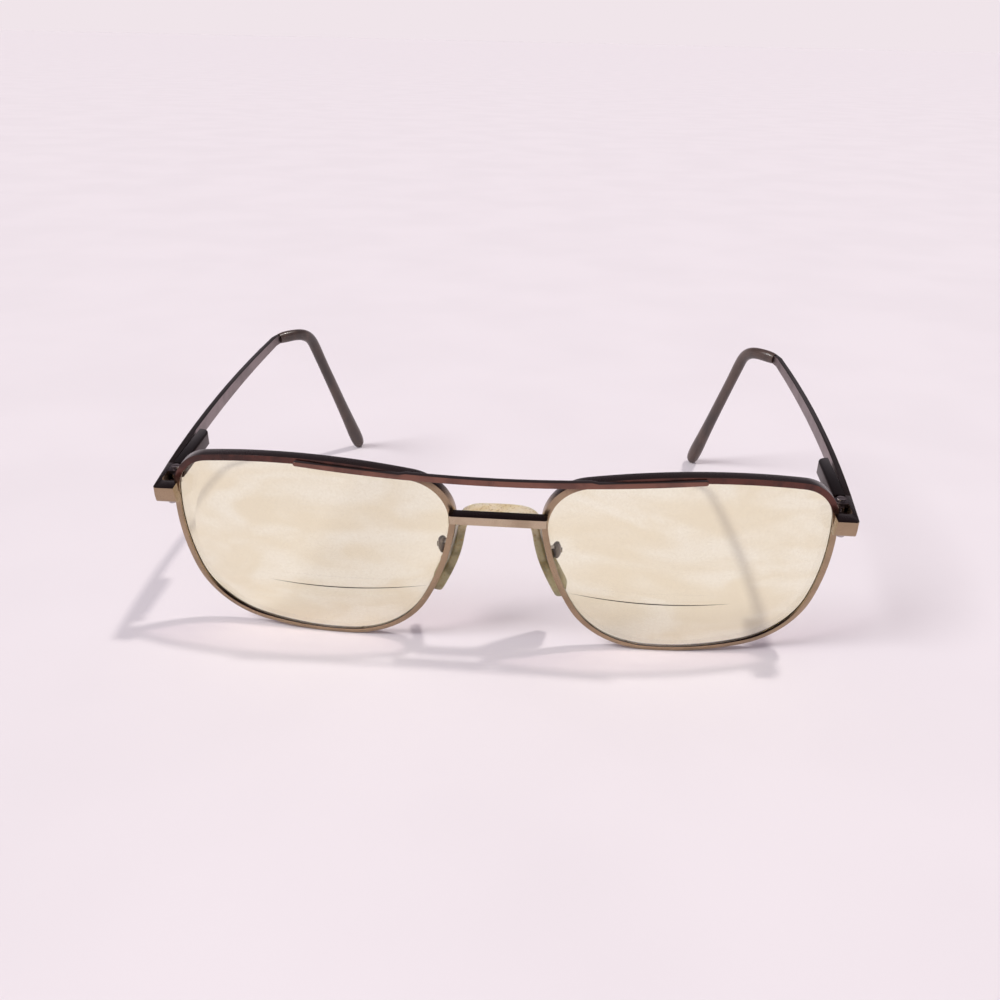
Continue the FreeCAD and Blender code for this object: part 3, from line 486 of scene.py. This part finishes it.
# %% a helper that rounds edges
def merged_copy(node, name, flat_angle=0.0):
    """A copy of a solid's mesh with its loose triangles joined, left selected and active."""
    piece = bpy.data.objects.new(name, nodes[node].data.copy())
    bpy.context.scene.collection.objects.link(piece)
    deselect()
    bpy.context.view_layer.objects.active = piece
    piece.select_set(True)
    bpy.ops.object.mode_set(mode="EDIT")
    bpy.ops.mesh.select_all(action="SELECT")
    bpy.ops.mesh.remove_doubles(threshold=0.001 * MM)
    if flat_angle:
        bpy.ops.mesh.dissolve_limited(angle_limit=math.radians(flat_angle))
    bpy.ops.object.mode_set(mode="OBJECT")
    return piece


def soften(node, width_mm, finish, segments=3, angle=32):
    piece = merged_copy(node, node + "_piece", flat_angle=0.6)
    bevel = piece.modifiers.new("broken edges", "BEVEL")
    bevel.width = width_mm * MM
    bevel.segments = segments
    bevel.limit_method = "ANGLE"
    bevel.angle_limit = math.radians(angle)
    bevel.use_clamp_overlap = True
    bpy.ops.object.modifier_apply(modifier=bevel.name)
    bpy.ops.object.shade_smooth_by_angle(angle=math.radians(40))
    piece.data.materials.clear()
    piece.data.materials.append(finish)
    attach(piece, nodes[node]["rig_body"])
    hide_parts(node)
    return piece


# %% round the metal pieces
SIDES = ("left", "right")
# what each piece is called, its finish, the slot it belongs to, and its edge in millimetres;
# words that end in an underline are made on both sides
ROUNDED = [("bridge", bridge_plate, "champagne_metal", 0.12),
           ("brow_bar", bar_enamel, "enamelled_metal", 0.16)]
ROUNDED_ON_BOTH_SIDES = [("rim_", rim_finish, "champagne_metal", 0.14),
                         ("end_piece_", champagne, "champagne_metal", 0.22),
                         ("closing_block_upper_", box_steel, "champagne_metal", 0.12),
                         ("closing_block_lower_", box_steel, "champagne_metal", 0.12),
                         ("hinge_front_", box_steel, "champagne_metal", 0.1),
                         ("pad_box_", box_steel, "champagne_metal", 0.3),
                         ("spring_housing_", housing_plate, "temple_metal", 0.18),
                         ("temple_", temple_plate, "temple_metal", 0.28)]
for node, finish, slot_name, edge in ROUNDED:
    soften(node, edge, finish)
for side_name in SIDES:
    for word, finish, slot_name, edge in ROUNDED_ON_BOTH_SIDES:
        soften(word + side_name, edge, finish, segments=2 if word == "rim_" else 3)

# %% [markdown]
# ## The springs inside the hinges
# When a temple flexes outwards, its slider is drawn out a little and the coil spring
# between them is pressed together.  Here each coil is only copied, smoothed and given the
# screw steel, and the copy stands in for it.

# %% copies of the springs
for side_name, sign in zip(SIDES, (-1, 1)):
    coil = merged_copy("flex_spring_" + side_name, "spring_coil_" + side_name)
    bpy.ops.object.shade_smooth_by_angle(angle=math.radians(40))
    coil.data.materials.clear()
    coil.data.materials.append(screw_steel)
    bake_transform(coil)
    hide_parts("flex_spring_" + side_name)

# %% [markdown]
# ## Finishes on the solids
# Screws, arms, springs, lenses and tips already have the right shape, so they only get
# their finishes.  The plain solids under the rounded pieces get the same finish as those.

# %% give finishes
def finish_node(node, finish):
    mesh = nodes[node].data
    if not mesh.materials:
        mesh.materials.append(finish)
    for index in range(len(mesh.materials)):
        mesh.materials[index] = finish


KEPT_ON_BOTH_SIDES = [(word, screw_steel) for word in ("rim_lock_screw_", "hinge_screw_", "hinge_slider_",
                                                       "flex_spring_", "pad_arm_", "pad_screw_")]
KEPT_ON_BOTH_SIDES += [("lens_", glass), ("temple_tip_", tip_plastic)]
for side_name in SIDES:
    for word, finish in KEPT_ON_BOTH_SIDES + [entry[:2] for entry in ROUNDED_ON_BOTH_SIDES]:
        finish_node(word + side_name, finish)
for node, finish in [entry[:2] for entry in ROUNDED] + [("saddle_pad", silicone)]:
    finish_node(node, finish)
print("finished", len(nodes), "solids")

# %% [markdown]
# ## The strap nose pad
# One moulded silicone strap goes over the nose, with two legs that splay outwards and
# backwards.  One half is drawn out of a small block, face by face, each step moved,
# turned and widened, then it is mirrored and smoothed.

# %% draw one half of the strap
# along the strap: across, height, front face, depth, thickness, how far it flares and slopes
STRAP = [(3.0, 9.75, 3.4, 3.6, 1.7, 0, 0), (5.4, 9.4, 3.4, 3.7, 1.75, 6, 20),
         (7.0, 8.0, 3.4, 3.9, 1.8, 9, 54), (7.6, 5.6, 3.4, 4.3, 1.8, 11, 77),
         (8.4, 1.4, 3.4, 5.1, 1.9, 15, 73), (10.0, -2.9, 3.4, 5.9, 2.1, 19, 67),
         (11.8, -7.0, 3.4, 6.7, 2.2, 18, 66), (13.1, -10.0, 3.5, 7.0, 2.2, 17, 66),
         (13.45, -10.9, 4.3, 5.4, 1.7, 17, 66)]
deselect()
bpy.ops.mesh.primitive_cube_add(
    size=1, location=(STRAP[0][0] / 2 * MM, (STRAP[0][2] + STRAP[0][3] / 2) * MM, STRAP[0][1] * MM),
    scale=(STRAP[0][0] * MM, STRAP[0][3] * MM, STRAP[0][4] * MM))
strap = bpy.context.object
strap.name = "strap_pad"
bpy.ops.object.transform_apply(location=True, rotation=True, scale=True)


def select_faces(item, wanted):
    """Leaves edit mode with only the faces selected that the test wants."""
    bpy.ops.object.mode_set(mode="EDIT")
    bpy.ops.mesh.select_mode(type="FACE")
    bpy.ops.mesh.select_all(action="DESELECT")
    bpy.ops.object.mode_set(mode="OBJECT")
    for face in item.data.polygons:
        face.select = wanted(face)
    bpy.ops.object.mode_set(mode="EDIT")


select_faces(strap, lambda face: face.normal.x > 0.9)
before = STRAP[0]
for station in STRAP[1:]:
    across, high, front_face, depth, thick, flare, slope = station
    was = Vector((before[0], before[2] + before[3] / 2, before[1])) * MM
    middle = Vector((across, front_face + depth / 2, high)) * MM
    bpy.ops.mesh.extrude_region_move(TRANSFORM_OT_translate={"value": middle - was})
    bpy.ops.transform.rotate(value=math.radians(before[6] - slope), orient_axis="Y",
                             orient_type="GLOBAL", center_override=middle)
    bpy.ops.transform.rotate(value=math.radians(flare - before[5]), orient_axis="Z",
                             orient_type="GLOBAL", center_override=middle)
    grown = thick / before[4]
    bpy.ops.transform.resize(value=(grown, depth / before[3], grown), orient_type="GLOBAL",
                             center_override=middle)
    before = station
bpy.ops.object.mode_set(mode="OBJECT")
print("strap half:", len(strap.data.vertices), "corners")

# %% mirror, round and smooth the strap
select_faces(strap, lambda face: face.normal.x < -0.9 and face.center.x < 0.1 * MM)
bpy.ops.mesh.delete(type="FACE")
bpy.ops.object.mode_set(mode="OBJECT")


def finish_with(item, kind, name, **settings):
    """Adds a modifier with its settings and applies it at once."""
    modifier = item.modifiers.new(name, kind)
    for key, value in settings.items():
        setattr(modifier, key, value)
    bpy.ops.object.modifier_apply(modifier=modifier.name)


finish_with(strap, "MIRROR", "other half", use_clip=True, merge_threshold=0.00001)
finish_with(strap, "BEVEL", "rounded corners", width=0.0005, segments=2, limit_method="ANGLE",
            angle_limit=math.radians(50))
finish_with(strap, "SUBSURF", "smooth flow", levels=3, render_levels=3)
bpy.ops.object.shade_smooth()
FRONT_TILT = math.radians(10.5)
FRONT_CENTRE = (0, -0.0544, 0.021)
strap.rotation_euler = (FRONT_TILT, 0, 0)
strap.location = FRONT_CENTRE
bpy.ops.object.transform_apply(location=True, rotation=True, scale=True)
strap.data.materials.append(silicone)
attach(strap, "front")
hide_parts("saddle_pad")
print("strap pad:", len(strap.data.polygons), "faces")
